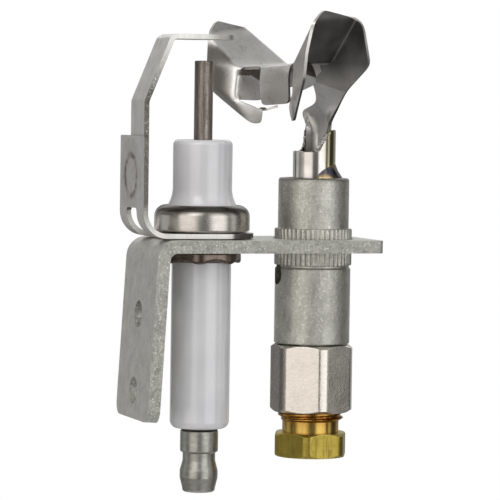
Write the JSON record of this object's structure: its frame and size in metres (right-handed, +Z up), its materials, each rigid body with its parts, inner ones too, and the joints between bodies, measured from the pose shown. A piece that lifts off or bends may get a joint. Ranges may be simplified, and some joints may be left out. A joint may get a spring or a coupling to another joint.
{
  "type": "ignition electrode",
  "caption": "Spark electrode in a ceramic insulator beside a pilot burner with a two-wing flame hood, both held by an L bracket with a ground strap.",
  "frame": {"origin": "middle of the bracket leg's outer face, half way between its two screw holes", "axes": "+Z up along the burner and the electrode, +X from the leg along the bracket's plate, +Y across the plate"},
  "size_m": [0.0411, 0.0282, 0.0803],
  "materials": {
    "galvanised_steel": "dull galvanised sheet, mottled",
    "strap_steel": "satin sheet steel, bright sheared edges",
    "rod_alloy": "drawn heat-resistant alloy, brownish",
    "glazed_ceramic": "glossy white glaze",
    "ferrule_steel": "dark stainless, turned lines",
    "ring_steel": "dark bronzed spring steel",
    "seal_fibre": "matt grey fibre",
    "terminal_plating": "dull plated metal",
    "cast_alloy": "matt grainy casting",
    "bright_steel": "bright drawn tube",
    "braze_metal": "heat-tinted braze",
    "hood_steel": "satin sheet steel, heat darkened inside",
    "weld_metal": "rough weld",
    "plated_steel": "matt plated hex bar",
    "brass": "machined brass"
  },
  "bodies": {
    "burner_frame": {"bracket": "galvanised_steel", "ground_strap_foot": "strap_steel", "ground_strap_arm": "strap_steel", "electrode_rod": "rod_alloy", "insulator": "glazed_ceramic", "ferrule_cup": "ferrule_steel", "cup_gasket": "seal_fibre", "retaining_ring": "ring_steel", "terminal_gasket": "seal_fibre", "snap_terminal": "terminal_plating", "burner_body": "cast_alloy", "burner_tube": "bright_steel", "braze_fillet": "braze_metal", "flame_hood": "hood_steel", "weld_bead_right": "weld_metal", "weld_bead_left": "weld_metal", "inlet_fitting": "plated_steel", "pilot_orifice": "brass"},
    "sleeve": {"compression_sleeve": "brass"},
    "nut": {"compression_nut": "brass"}
  },
  "joints": [
    {"name": "nut_advance", "type": "slide", "parent": "burner_frame", "child": "sleeve", "axis": [0, 0, 1], "range_m": [-0.00424, 0.00213]},
    {"name": "nut_turn", "type": "hinge", "parent": "sleeve", "child": "nut", "pos_m": [0.0308, 0, -0.01116], "axis": [0, 0, 1], "range_deg": [-1440, 720]}
  ],
  "couplings": [
    {"joint": "nut_advance", "follows": "nut_turn", "m_per_rad": 0.00016839}
  ]
}
